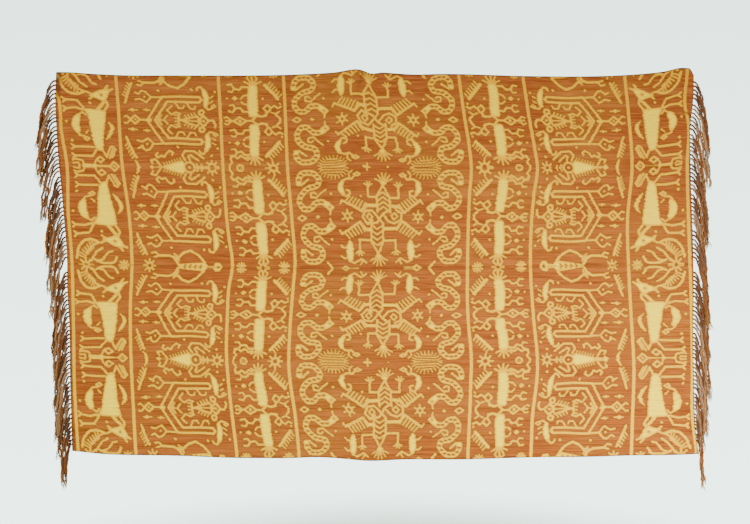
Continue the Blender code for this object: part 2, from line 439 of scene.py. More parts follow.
def deer_band(pen):
    """A deer with a high antler crescent, a small bird at its back and a comb tail."""
    pen.area((23, 58), (45, 58), (44, 48), (43, 36), (41, 18), (38, 15), (33, 18), (31, 28), (29, 42),
             (28, 50))
    for leg in DEER_LEGS:
        pen.strokes(2.2, [leg.hip, leg.knee, leg.foot],
                    [(leg.foot[0] - 3, leg.foot[1] + 2.4), leg.foot, (leg.foot[0] - 3, leg.foot[1] - 2.4)])
    pen.line((37, 58), (44, 66), width=3.2)
    pen.line((44, 58), (48, 64), (46, 68), width=2.4)
    pen.area((31, 71), (36, 74), (43, 78), (48, 79), (52, 80), (50, 75), (47, 69), (44, 67), (39, 69),
             (35, 70))
    pen.dot(43, 73, 0.9, cut=True)
    pen.strokes(2.2, [(49, 77), (54, 80)], [(46, 77), (50, 83)])
    pen.strokes(THIN_STROKE, [(34, 73), (30, 75)], [(34, 70), (31, 68)])
    pen.line((5, 90), (7, 80), (13, 73.5), (21, 72), (28, 75), width=2.6)
    pen.line((28, 75), (22, 78), (15, 86), width=2.0)
    for tooth in range(7):
        share = tooth / 6
        pen.straight((6 + 15 * share, 87 - 14 * share), (12.5 + 10 * share, 90 - 9 * share), width=1.5)
    pen.straight((19, 93), (25, 84), (31, 80), width=2.2)
    pen.straight((25, 93), (31, 91), (36, 84), (40, 83))
    pen.dots(1.4, (31, 64), (5, 45))
    pen.dot(9, 25, 1.5)
    # the bird behind the deer
    pen.area((17, 53), (12, 49), (10, 42), (12, 36), (17, 32.5), (19, 35), (18, 42), (20, 50))
    pen.straight((15, 34), (18, 30.5), (23, 30))
    pen.diamond(25, 27.5, 4.2, 2.8, eye=0.8)
    pen.straight((24, 33), (27, 36), width=1.7)
    pen.straight((18, 52), (22, 54.5), (25, 51.5), width=1.9)
    # boomerang leaf and the comb tail by the inner stripe
    pen.area((46, 47), (52, 42), (53, 38), (50, 31), (44, 26), (48, 34), (49.5, 38), (49, 42))
    pen.strokes(THIN_STROKE, [(43, 9), (48, 19)], [(46, 8), (51, 18)], [(49, 9), (53, 17)])
    pen.line((48, 19), (50.5, 20.5), (53, 17), width=2.0)
    pen.line((40, 16), (43, 10), width=2.2)
    # figures on the panel's middle line
    pen.straight((10, 5.5), (16, 4.5), (18, 0))
    pen.strokes(1.7, [(10, 5.5), (6, 4.5)], [(12, 2), (6, 1.4)])
    pen.dot(12.5, 0, 1.2)
    pen.straight((17, 0), (28, 0), width=3.0)
    pen.dot(29, 0, 2.4)
    pen.open_diamond(36, 6.5, 4, 3)
    pen.line((29, 1), (31, 6), (33, 8), width=1.8)
    pen.straight((30, 0), (45, 0), width=2.2)
    pen.open_diamond(49.5, 0, 4.6, 4.6, dot=1.3)
    # figures by the panel's edges
    pen.rays(13.5, 97, 8, 2.4, 7.0)
    pen.rays(50, 97, 8, 0.5, 4.5, width=1.7)
    pen.line((23, 92), (30, 95), (41, 95), (44, 89), width=2.4)


def arch_band(pen):
    """A double arch with a sea-horse pair, a winged body between them, and a lying figure by the edge."""
    pen.copies = MIRRORED
    pen.straight((28, 48), (44, 72.3), (80, 72.3), (82, 69.6), (80, 67), (49, 67), (36, 48), width=2.3)
    pen.straight((28, 48), (31.5, 48), width=3.4)
    pen.strokes(1.9, [(44, 72), (33, 72), (28, 77.6), (24.5, 78.4), (20.5, 74.8), (17.5, 76.5)],
                [(33, 72), (28, 66.2), (21.5, 69.8), (17, 68.8)])
    pen.dot(26.5, 72, 1.2)
    pen.strokes(1.8, [(43, 48), (39, 48), (43, 53)], [(45, 48), (49, 52.5)],
                [(53, 62.5), (48.5, 58), (52.5, 53.5), (57, 56), (61.5, 54.4)])
    for hook in (56, 67):
        pen.straight((hook, 66.6), (hook + 3.8, 60.4), (hook + 8, 60.4), (hook + 9, 63.2), width=1.7)
    pen.strokes(1.4, [(9, 58), (18, 58)], [(24, 58.5), (31, 58.5)])
    pen.diamond(13, 58, 2.6, 2.0)
    pen.diamond(27.5, 58.5, 2.2, 1.6)
    pen.straight((6.5, 66), (10, 75), (14.5, 86), width=2.4)
    pen.comb((8.6, 71), (13.6, 83), 5, (-3.4, 4.0), width=1.5)
    pen.area((83, 81), (86, 80), (89, 75), (89.5, 67), (87, 60.5), (84.5, 62), (84.5, 68), (83.5, 75))
    pen.strokes(THIN_STROKE, [(84.5, 79.5), (82, 82.5), (79, 81.5), (78, 79)],
                [(86.5, 62), (89, 59.5), (93, 60.5)])
    pen.diamond(94.5, 62.5, 3.2, 2.4, eye=0.7)
    pen.strokes(1.6, [(91, 71), (94, 73)], [(91, 66), (94, 68)])
    pen.dot(96, 77, 1.3)
    # the two sides of the winged body and of the arch's root on the axis
    pen.straight((63, AXIS), (70, AXIS + 2.6), (78, AXIS + 5), (81, AXIS), width=1.9)
    pen.comb((68, AXIS + 1.8), (77, AXIS + 5), 4, (-2.4, 3.6), width=1.4)
    pen.ring(82, AXIS + 8.8, 2.4, width=2.2)
    pen.straight((11, AXIS), (7, AXIS + 4), (4.5, AXIS + 3), width=1.8)
    pen.copies = [PLAIN]
    # on the axis: ringed root of the arch, comb bar and the head of the winged body
    pen.open_diamond(15.5, AXIS, 5, 4.4, width=2.1, dot=1.2)
    pen.straight((20, AXIS), (28, AXIS))
    pen.straight((60, 43.2), (60, 52.8), width=1.9)
    pen.comb((60, 43.2), (60, 52.8), 4, (-4, 0), width=1.4)
    pen.strokes(2.2, [(60, AXIS), (68, AXIS)],
                [(89, AXIS), (93, AXIS + 0.5), (95.5, AXIS - 3), (95, AXIS - 7)])
    pen.open_diamond(84, AXIS, 5.2, 5.4, width=2.1, dot=1.4)
    pen.straight((68, AXIS), (78, AXIS), width=1.4)
    # by the panel's middle line
    pen.straight((36, 15), (33.5, 12.5), (36, 10), (39.5, 12), (43, 10.5), (45, 14), (48.5, 16.5),
                 (52, 14.5), (51, 12))
    pen.strokes(THIN_STROKE, [(38, 2), (33, 8.5), (28, 7.5), (30, 4.4)], [(73, 0), (82, 0)])
    pen.area((12, 8), (15.5, 5.5), (17.5, 0), (15.5, -5.5), (12, -8), (14, -4), (14.4, 0), (14, 4))
    pen.straight((40, 0), (33, 0), width=2.2)
    pen.diamond(29, 0, 3.6, 2.6)
    pen.facet((37, 0), (61, 6.6), (63.5, 4), (63.5, -4), (61, -6.6))
    pen.comb((43, 1.8), (60, 6.6), 7, (-1.6, 2.8), width=1.2)
    pen.ring(68, 0, 5.2, width=2.0, dot=1.5)
    pen.straight((64, 7), (61, 12), (64, 16.5), (73, 16.5), (82, 9), width=2.1)
    pen.straight((69, 7), (67, 11), (69, 12.5), (77, 7), width=1.9)
    pen.strokes(1.7, [(75, 3.4), (77.5, 0)], [(79.5, 3), (81, 0)])
    pen.rays(90, 0, 8, 3.0, 6.6, width=1.8)
    pen.ring(90, 0, 3.2, width=1.8)
    pen.dots(1.4, (90, 11.5), (41, 79), (73, 79.5))
    pen.dots(1.3, (22, 22), (57, 20))
    # the lying figure whose middle is the panel's edge
    pen.facet((91, 97), (88.5, 101), (84, 101.5), (81, 97), (84, 92.5), (88.5, 93))
    pen.dot(86.5, 97, 1.3, cut=True)
    pen.straight((81, 97), (76, 97), width=3.0)
    pen.area((76, 99), (76, 95), (73, 92), (60, 93.5), (47, 96), (47, 99))
    for rib in (52, 57, 62, 67):
        pen.straight((rib, 99), (rib + 2.5, 95), width=1.2, cut=True)
    pen.strokes(2.4, [(73, 92), (67, 85), (60, 81), (53, 83.5), (48, 88)],
                [(47, 96), (43, 89.5), (38, 87), (27, 87)])
    pen.rays(47, 88, 5, 0.5, 5.0, turn=2.6, spread=2.4, width=1.5)
    pen.strokes(1.9, [(27, 87), (24, 83.5), (20, 84.5)], [(27, 87), (22, 88.5)])
    pen.rays(17, 97, 8, 2.6, 6.2, width=1.8)
    pen.ring(17, 97, 2.8, width=1.6)


def pair_band(pen):
    """Two beasts back to back about a level, with fans, feathers and a fish between them."""
    pen.copies = MIRRORED
    pen.area((29, 52), (37.5, 52), (38.5, 60), (37.5, 72), (38, 85), (29, 85), (28, 72), (28.5, 60))
    pen.rays(33.5, 84, 5, 1.0, 9.0, turn=math.pi / 2, spread=2.2, width=1.8)
    pen.straight((36, 53), (41, 51.5), (46, 52.5), width=2.4)
    pen.strokes(1.9, [(44, 52), (47, 55.5), (43.5, 60), (47, 63.5), (51, 60), (48, 56)],
                [(51, 60), (54, 62.5), (57.5, 60), (61, 61.5)])
    pen.strokes(1.7, [(51, 55.5), (55, 54), (59, 56.5)], [(15, 80.5), (13, 77), (9, 77.5)],
                [(16, 61), (13.5, 64.5), (9.5, 63.5)])
    pen.strokes(THIN_STROKE, [(29, 82.5), (23, 83), (20, 79.5), (15, 80.5), (12.5, 84.5), (8.5, 84)],
                [(29, 58), (24, 57.5), (21, 61.5), (16, 61), (13.5, 57), (9, 58)])
    pen.strokes(1.8, [(29, 75), (24, 74), (21.5, 71)], [(29, 65), (24.5, 65.5), (22, 68)])
    pen.diamond(15.5, 71, 3.0, 2.3)
    pen.dots(1.2, (7.5, 70.5), (60, 64.5))
    pen.straight((45, 84), (50, 78.5), (58, 69.5), width=3.2)
    pen.comb((47, 82.5), (58, 70), 6, (3.6, 4.6), width=1.5)
    pen.dot(43, 70, 1.3)
    pen.straight((32, AXIS), (36, AXIS + 4), width=2.2)
    pen.straight((12, AXIS), (7, AXIS + 4), (4, AXIS + 3), width=1.7)
    pen.copies = [PLAIN]
    pen.open_diamond(20, AXIS, 6.4, 4.2, width=2.0, dot=1.6)
    pen.straight((26, AXIS), (32, AXIS))
    pen.straight((14, AXIS), (5, AXIS), width=1.8)
    pen.line((56, 52.5), (59, 50), (59, 46), (56, 43.5), width=2.2)
    # by the middle line: a stepped tendril, a ring and a sun
    pen.ring(18, 0, 3.2, width=2.0, dot=0.9)
    pen.strokes(THIN_STROKE,
                [(7, 2), (10, 5.5), (7.5, 9), (11, 12.5), (15, 9.5), (19, 12.5), (23, 9.5), (27, 11)],
                [(7, 2), (7, -2)])
    pen.rays(51, 0, 8, 3.4, 7.4, width=1.9)
    pen.ring(51, 0, 3.4, width=2.2)
    pen.rays(33, 97, 8, 2.4, 6.0, width=1.8)
    for u, tip in ((54, 5.6), (10, 5.2)):
        pen.rays(u, 97, 5, 0.8, tip, turn=-math.pi / 2, spread=2.3, width=1.7)


SERPENT = [(9, 81), (9.5, 86), (14, 91), (24.5, 91), (31, 84), (28.5, 77.5), (18.5, 76), (10.5, 68.5),
           (10, 62), (14.5, 56), (21, 56), (26.5, 61.5), (32.5, 62), (38, 59)]


def serpents(pen):
    """Coiled serpents up both sides of the middle band, each with its mirror image."""
    sides = [Copy(side, -side * MIDDLE_HALF, 1, 0) for side in (1, -1)]
    pen.copies = sides + [copy._replace(turn_w=-1, shift_w=2 * AXIS) for copy in sides]
    pen.line(*SERPENT, width=5.8)
    pen.spots(SERPENT)
    pen.straight((9, 81), (12, 79), (15, 81.5), (19, 84.5), width=2.1)
    pen.straight((27, 70), (25, 71.6), (21.5, 71), (22, 67), (27.5, 66.3), (32, 70.5), (37, 74), width=1.8)
    pen.diamond(39.5, 57, 4.6, 4.2, eye=0.9)
    pen.straight((39.5, 54), (39, 50), width=1.8)
    pen.copies = sides
    pen.open_diamond(11, AXIS, 4.6, 2.6, width=1.7)
    pen.diamond(27, AXIS, 2.2, 1.7)


# The wing's arm goes out from the body by its bends; its feathers rise from the outer bends
Wing = namedtuple("Wing", "body elbow wrist tip rise")
WINGS = table(
    Wing,
    ((-9, 60), (-15, 60), (-21, 53.5), (-40, 64), 8.5),
    ((4, 58.5), (17, 58.5), (22.5, 51.5), (40, 64.5), 8.5),
    ((-3, 37), (-13, 37.5), (-19, 43.5), (-38, 32.5), -8.0),
    ((13, 37), (19, 37.5), (24, 43.5), (40, 31.5), -8.0),
)
FEATHERS = 6
# A standing figure from its feet to its head, with hands held out beside the head
Figure = namedtuple("Figure", "axis foot head side hand_reach")
FIGURES = table(Figure, (-3, 54, 85, 1, 19.0), (4, 43, 16, -1, 15.5))
SHOULDER_SHARE = 0.55
SHOULDER_HALF = 6.4


def standing_figures(pen):
    """Two standing figures one above the other, with raised hands and feathered wings."""
    for figure in FIGURES:
        axis, side = figure.axis, figure.side
        height = figure.head - figure.foot
        shoulder = figure.foot + SHOULDER_SHARE * height
        up = side * math.pi / 2
        pen.diamond(axis, figure.head, 3.6, 2.8)
        pen.rays(axis, figure.head, 6, 3.0, 10.0, turn=up, spread=2.2, width=1.5)
        for lean in (-1, 1):
            flank = axis + SHOULDER_HALF * lean
            pen.straight((axis, figure.head - 2 * side), (flank, shoulder), (flank, figure.foot))
            hand = (axis + figure.hand_reach * lean, shoulder + 9 * side)
            pen.straight((flank, shoulder - side), (hand[0], shoulder - side), hand, width=2.1)
            pen.rays(*hand, 4, 0.6, 5.0, turn=up, spread=2.0, width=1.5)
        for row in range(4):
            low = figure.foot + height * (0.04 + 0.165 * row)
            pen.straight((axis - 6, low), (axis, low + 4 * side), (axis + 6, low), width=1.7)
    for wing in WINGS:
        pen.straight(wing.body, wing.elbow, width=3.3)
        pen.straight(wing.elbow, wing.wrist, wing.tip, width=2.3)
        run_u, run_w = wing.tip[0] - wing.wrist[0], wing.tip[1] - wing.wrist[1]
        outward = 1 if run_u > 0 else -1
        for feather in range(FEATHERS):
            share = (feather + 0.2) / FEATHERS
            u, w = wing.wrist[0] + run_u * share, wing.wrist[1] + run_w * share
            pen.straight((u, w), (u - 5.5 * outward, w + wing.rise * (1 - 0.35 * share)), width=1.6)
        hook = (wing.tip[0] + 2.2 * outward, wing.tip[1] - 0.4 * wing.rise)
        pen.straight(wing.tip, hook, width=1.8)


def interlock(pen):
    """Two hooked curls that lock into each other between the figures."""
    pen.strokes(2.1, [(3.5, 54), (-3, 47), (-8, 41.8), (-15, 43), (-18.5, 49), (-13, 55), (-8, 51)],
                [(-9.5, 54), (-3, 53), (3, 44.5), (9, 41)],
                [(4, 46), (9, 51.5), (15, 53.5), (21, 50), (21.5, 44), (16, 40.5)])
    pen.open_diamond(-11, 48, 3.2, 3.2, width=1.7)
    pen.open_diamond(14.4, 46.5, 3.2, 3.2, width=1.7)


# A shell's place, the reach of its level lines, and where its rays begin and end
SHELL = 45.5
SHELL_SIZE = (11.5, 8.4)
SHELL_RAYS = 12
RAY_ENDS = ((11.8, 8.2), (15.0, 11.8))


def middle_band(pen):
    """Serpents at the sides, two figures on the axis, dogs, birds and rayed shells on the middle line."""
    serpents(pen)
    pen.copies = [PLAIN]
    standing_figures(pen)
    interlock(pen)
    for c in (-34, 38):
        pen.rays(c, 47.5, 6, 2.6, 6.0, turn=0.52, width=1.7)
        pen.ring(c, 47.5, 2.6, width=1.9)
    # dogs with their long tails towards the axis
    for c, side in ((-32, -1), (31, 1)):
        pen.area((c - 1, 70.5), (c + 1, 70.5), (c + 3.4, 76), (c + 3.2, 86), (c + 1, 90.5), (c - 1, 90.5),
                 (c - 3.2, 86), (c - 3.4, 76))
        for height in (76, 86):
            pen.straight((c, height), (c + 6 * side, height + 1), (c + 9 * side, height - 1.5), width=1.7)
        pen.straight((c, 90), (c - 4 * side, 92), (c - 11 * side, 88), (c - 16 * side, 92), width=1.8)
        pen.straight((c - 13 * side, 89), (c - 10 * side, 93.5), width=1.6)
    pen.copies = [PLAIN, Copy(-1, 0, 1, 0)]
    # a long-necked head and an arrow point whose other halves lie across the seam
    pen.diamond(37, 97, 5.0, 3.2, eye=1.0)
    pen.straight((33, 97), (24, 97), width=1.3)
    pen.straight((55, 91), (49.5, 97), width=2.3)
    # curled birds near the middle line
    pen.area((35, 27), (40, 25), (42, 19), (38, 12.5), (35.5, 15), (37, 19), (35.5, 23))
    pen.straight((38, 25.5), (34, 28.5), (30, 27), (30, 23.5), (33, 22.5), width=1.9)
    pen.straight((38, 14), (33, 11.5), (28, 12), (25.5, 9))
    pen.diamond(23, 7.5, 4.2, 2.5, eye=0.8)
    pen.straight((30, 12), (31, 7), (28, 4), width=1.6)
    # oval shells on the middle line, of level lines with rays all round
    for row in range(4):
        w = 2.5 * row
        half = SHELL_SIZE[0] * math.sqrt(1 - (w / SHELL_SIZE[1]) ** 2)
        pen.straight((SHELL - half, w), (SHELL + half, w), width=1.1)
    for ray in range(SHELL_RAYS):
        turn = math.pi * (ray + 0.5) / SHELL_RAYS
        ends = [(SHELL + u * math.cos(turn), w * math.sin(turn)) for u, w in RAY_ENDS]
        pen.straight(*ends, width=1.1)
    pen.dots(1.3, (50, 69), (48, 26))
    pen.dot(19, 29, 1.2)
    pen.copies = [PLAIN]
    pen.rays(-13, 0, 4, 0.5, 3.6, width=1.7)
    pen.diamond(8, 0, 2.0, 1.5)


def drift(along, drop):
    """The dyer's unevenness: how far the tied bundles have wandered, in binding steps."""
    u = 0.5 * np.sin(along / 47 + np.sin(drop / 71)) + 0.45 * np.sin(drop / 33 + along / 160)
    w = 0.45 * np.sin(drop / 59 + 1.7 * np.sin(along / 83)) + 0.35 * np.sin(along / 29 + drop / 210)
    return u, w


def pattern(along, drop, part, length):
    """Depth inside the pale figures and inside the gold stripes, in millimetres, for every place."""
    wander_u, wander_w = drift(along, drop)
    x = along + STEP * wander_u
    down = np.where(
        part < length.axis,
        (length.axis - part) / length.axis * length.steps_above,
        (part - length.axis) / (1 - length.axis) * length.steps_below,
    )
    down = np.abs(down + wander_w)
    lines = [smooth_line(rows, drop) for rows in STRIPES]
    depth = np.full(along.shape, -REACH)
    bands = [
        (0, 1, DEER_BAND, deer_band), (1, 2, ARCH_BAND, arch_band), (2, 3, PAIR_BAND, pair_band),
        (5, 4, PAIR_BAND, pair_band), (6, 5, ARCH_BAND, arch_band), (7, 6, DEER_BAND, deer_band),
    ]
    for outer, inner, width, draw in bands:
        across = (x - lines[outer]) / (lines[inner] - lines[outer]) * width
        here = (across > 0) & (across < width)
        pen = Pen(across[here], down[here])
        draw(pen)
        room = np.minimum(pen.across, width - pen.across) - BORDER_GAP
        depth[here] = np.minimum(pen.depth, room)
    across = ((x - lines[3]) / (lines[4] - lines[3]) * 2 - 1) * MIDDLE_HALF
    here = np.abs(across) < MIDDLE_HALF
    pen = Pen(across[here], down[here])
    middle_band(pen)
    depth[here] = np.minimum(pen.depth, MIDDLE_HALF - np.abs(pen.across) - BORDER_GAP)
    gold = np.full(along.shape, -REACH)
    for line in lines:
        gold = np.maximum(gold, STRIPE_HALF_WIDTH - np.abs(along - line) / STEP)
    return np.clip(depth, -REACH, REACH) * STEP, gold * STEP


def creases(along, drop):
    """Where the cloth is creased, dented in and darkened with painted shade: the turned corner, a tuck at the
    right and the top's hump.
    """
    corner = np.exp(-(((along + 1266 + 0.06 * drop) / 9) ** 2)) / (1 + np.exp((drop - 96) / 6))
    tuck_line = (drop - 160 - 0.25 * (along - 1245)) / 5
    tuck = np.exp(-(tuck_line**2)) / (1 + np.exp((1226 - along) / 6))
    hump_line = (along + 52 + 0.35 * drop) / 9
    hump = 0.6 * np.exp(-(hump_line**2)) / (1 + np.exp((drop - 60) / 14))
    return np.clip(corner + tuck + hump, 0, 1)


def new_mesh(name, points, faces, numbers):
    """A smooth-shaded mesh from arrays of points, face corners and named numbers per point."""
    mesh = bpy.data.meshes.new(name)
    mesh.from_pydata(points.tolist(), [], faces)
    for title, values in numbers.items():
        layer = mesh.attributes.new(title, "FLOAT", "POINT")
        layer.data.foreach_set("value", np.asarray(values, np.float32).ravel())
    mesh.polygons.foreach_set("use_smooth", [True] * len(mesh.polygons))
    piece = bpy.data.objects.new(name, mesh)
    bpy.context.scene.collection.objects.link(piece)
    return piece


def woven_panel(length, material):
    """One dense woven length that carries its pattern as numbers on its points."""
    columns, rows = SHEET_COLUMNS, SHEET_ROWS
    along, drop, share, part = cloth_grid(columns, rows, length.top, length.bottom)
    # the creases dent the cloth in, and carry painted shade into the material
    crease_dent_and_shade = creases(along, drop)
    out = relief(along, drop) + ripples(along, drop) - CREASE_DEPTH * crease_dent_and_shade
    points = np.stack([along, -out, -drop], axis=-1) * MM
    number = np.arange((rows + 1) * (columns + 1)).reshape(rows + 1, columns + 1)
    quads = [number[:-1, :-1], number[1:, :-1], number[1:, 1:], number[:-1, 1:]]
    faces = np.stack(quads, axis=-1).reshape(-1, 4)
    numbers = {}
    for title, depth in zip(("motif", "gold"), pattern(along, drop, part, length)):
        slope = np.gradient(depth, axis=1) / np.gradient(along, axis=1)
        numbers[title] = depth
        numbers[title + "_slope"] = np.clip(slope, -SLOPE_LIMIT, SLOPE_LIMIT)
    # the creases as a number, for the painted shade
    numbers["crease_dent_and_shade"] = crease_dent_and_shade
    panel = new_mesh(length.name + "_length", points.reshape(-1, 3), faces.tolist(), numbers)
    bake = panel.data.uv_layers.new(name="OFBake")
    far = (faces % (columns + 1))[:, 0] >= columns // 2
    across = share.ravel()[faces] * 2 - far[:, None]
    up = (1 - part.ravel()[faces]) / 2 + 0.5 * (~far[:, None])
    bake.data.foreach_set("uv", np.stack([across, up], axis=-1).astype(np.float32).ravel())
    panel.data.materials.append(material)
    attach(panel, "root")
    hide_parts(length.node)
    return panel


def run_along(path):
    """How far along a path each of its points lies."""
    return np.r_[0, np.cumsum(np.linalg.norm(np.diff(path, axis=0), axis=1))]


def crossways(path):
    """Two directions square to a path at each of its points."""
    step = np.gradient(path, axis=0)
    step /= np.linalg.norm(step, axis=1)[:, None] + 1e-12
    lean = np.cross(step, [0.0, 1.0, 0.0])
    flat = np.linalg.norm(lean, axis=1) < 0.2
    lean[flat] = np.cross(step[flat], [1.0, 0.0, 0.0])
    lean /= np.linalg.norm(lean, axis=1)[:, None]
    return lean, np.cross(step, lean)


def tube_block(path, radius, sides, lobes, pitch, start_turn, taper):
    """Points, faces and numbers of one closed thread, whose section turns along it like twisted plies."""
    lean, rise = crossways(path)
    run = run_along(path)
    corner = np.arange(sides) * FULL_TURN / sides
    turn = start_turn + FULL_TURN * run / pitch
    ply = np.cos(2 * corner) * lobes
    reach = radius * (1 + ply)[None, :] * taper[:, None]
    angle = corner[None, :] + turn[:, None]
    points = path[:, None] + reach[..., None] * (
        np.cos(angle)[..., None] * lean[:, None] + np.sin(angle)[..., None] * rise[:, None])
    count = len(path)
    number = np.arange(count * sides).reshape(count, sides)
    after = np.roll(number, -1, axis=1)
    faces = np.stack([number[:-1], number[1:], after[1:], after[:-1]], axis=-1).reshape(-1, 4).tolist()
    faces += [number[0].tolist(), number[-1][::-1].tolist()]
    furrow = np.tile(1 - ply / max(lobes, 1e-6), count)
    return points.reshape(-1, 3), faces, furrow, np.repeat(run / run[-1], sides)


def threads(name, paths, radius, sides, material, lobes=0.0, pitch=18.0, tips=0.6, swell=0.0, tones=None):
    """Many separate threads as one mesh, thicker at the start by the swell."""
    rng = random.Random(len(paths) + sides)
    all_points, all_faces, ply_groove_shade, length, tone = [], [], [], [], []
    first = 0
    for order, path in enumerate(paths):
        path = np.asarray(path, float)
        taper = 1 + swell * np.exp(-run_along(path) / ROOT_RUN)
        taper[-1] = tips
        start_turn = FULL_TURN * rng.random()
        points, faces, furrow, run = tube_block(path, radius, sides, lobes, pitch, start_turn, taper)
        all_points.append(points)
        all_faces += [[corner + first for corner in face] for face in faces]
        ply_groove_shade.append(furrow)
        length.append(run)
        own = tones[order] if tones else rng.random()
        tone.append(np.full(len(points), own))
        first += len(points)
    numbers = {"ply_groove_shade": np.concatenate(ply_groove_shade), "run": np.concatenate(length), "tone": np.concatenate(tone)}
    piece = new_mesh(name, np.concatenate(all_points) * MM, all_faces, numbers)
    piece.data.materials.append(material)
    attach(piece, "root")
    return piece


def strand_path(clump, order, member, side, jitter):
    """The points of one strand, from inside the cloth's end, out sideways and down to its tip."""
    end = LEFT_END if side < 0 else RIGHT_END
    spacing = (clump.root_bottom - clump.root_top) / clump.strands
    root = clump.root_top + spacing * (member + 0.5)
    middle = (clump.root_top + clump.root_bottom) / 2
    fall = clump.tip - middle
    tip = clump.tip - TIP_SPREAD * jitter.random()
    layer = (member * 2) % LAYERS
    stand_off = 1.0 + layer * LAYER_STEP + (order % 2) * CLUMP_STEP
    edge = float(smooth_line(end, root))
    surface = float(relief(edge, root))
    points = [(edge - side * ROOT_DEPTH, -surface, -root)]
    steps = int((tip - root) / STRAND_STEP)
    for step in range(1, steps + 1):
        drop = (tip - root) * (step / steps) ** ROOT_CROWDING
        own = clump.reach * (drop / fall) ** ROOT_CURL
        below_middle = max(root + drop - middle, 0.0)
        shared = clump.reach * (below_middle / fall) ** ROOT_CURL
        pull = GATHER * min(drop / (0.6 * fall), 1.0)
        outer = FAN * (clump.strands - 1 - member) * min(drop / FAN_RUN, 1.0)
        out = own + (shared - own) * pull + outer
        away = stand_off * min(drop / LAYER_RUN, 1.0) ** LIFT_CURL
        points.append((edge + side * out, -surface - away, -(root + drop)))
    return np.array(points)


def swayed(path, jitter):
    """The same strand with soft bends of its own."""
    run = run_along(path)
    ease = np.clip(run / SWAY_RUN, 0, 1)
    bent = path.copy()
    for axis, share in ((0, 1.0), (1, 0.35), (2, 0.2)):
        for wave in SWAY_WAVES:
            turn = FULL_TURN * jitter.random()
            swing = SWAY * share * wave / SWAY_WAVES[0]
            bent[:, axis] += swing * ease * np.sin(FULL_TURN * run / wave + turn)
    return bent


def plied(path, jitter):
    """The yarns that are laid round each other along one strand and part near its tip."""
    run = run_along(path)
    lean, rise = crossways(path)
    first = FULL_TURN * jitter.random()
    lay = LAY_LENGTH * jitter.uniform(0.8, 1.25)
    loose = jitter.uniform(*LOOSE_TIP)
    yarns = []
    for yarn in range(YARNS):
        turn = first + FULL_TURN * (yarn / YARNS + run / lay)
        part = np.clip((run - run[-1] + loose) / loose, 0, 1) ** 1.6
        reach = LAY_RADIUS * (1 - 0.4 * part)
        away = jitter.uniform(-1, 1) * TIP_PARTING
        lift = jitter.uniform(-0.3, 0.3) * TIP_PARTING
        points = path + (reach * np.cos(turn))[:, None] * lean + (reach * np.sin(turn))[:, None] * rise
        points[:, 0] += away * part
        points[:, 1] += lift * part
        keep = len(points) - jitter.randrange(0, 7)
        yarns.append(points[:keep])
    return yarns


def fringe(node, clumps, side, material, hair_material):
    """The plied strands of one end of a length, with parted tips and fine loose hairs."""
    jitter = random.Random(SEED + side)
    bend = random.Random(SEED * 7 + side + len(clumps))
    paths, hairs, tones = [], [], []
    for order, clump in enumerate(clumps):
        for member in range(clump.strands):
            path = swayed(strand_path(clump, order, member, side, jitter), bend)
            tone = bend.random()
            for yarn in plied(path, bend):
                paths.append(yarn)
                tones.append(min(max(tone + bend.uniform(-0.15, 0.15), 0.0), 1.0))
                end = yarn[-1]
                for _ in range(TIP_HAIRS):
                    lean = bend.uniform(-6, 6)
                    fall = bend.uniform(6, 18)
                    hair = [end + [lean * s, bend.uniform(-1, 1) * s, 3 - fall * s] for s in HAIR_PLACES]
                    hairs.append(hair)
            for _ in range(STRAY_HAIRS):
                at = bend.randrange(len(path) // 6, len(path) - 8)
                lean = side * bend.uniform(4, 13)
                fall = bend.uniform(12, 38)
                hairs.append([path[at] + [lean * s**1.5, -1.5 * s, -fall * s] for s in HAIR_PLACES])
    strands = threads(node + "_strands", paths, YARN_RADIUS, 5, material, lobes=0.12, pitch=13.0, tips=0.5,
                      swell=ROOT_SWELL, tones=tones)
    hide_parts(node)
    return [strands, threads(node + "_hairs", hairs, HAIR_RADIUS, 3, hair_material, tips=0.3)]


def tint(red, green, blue):
    """A screen colour in the units that the shader wants."""
    linear = []
    for part in (red, green, blue):
        value = part / 255
        linear.append(value / 12.92 if value <= 0.04045 else ((value + 0.055) / 1.055) ** 2.4)
    return linear


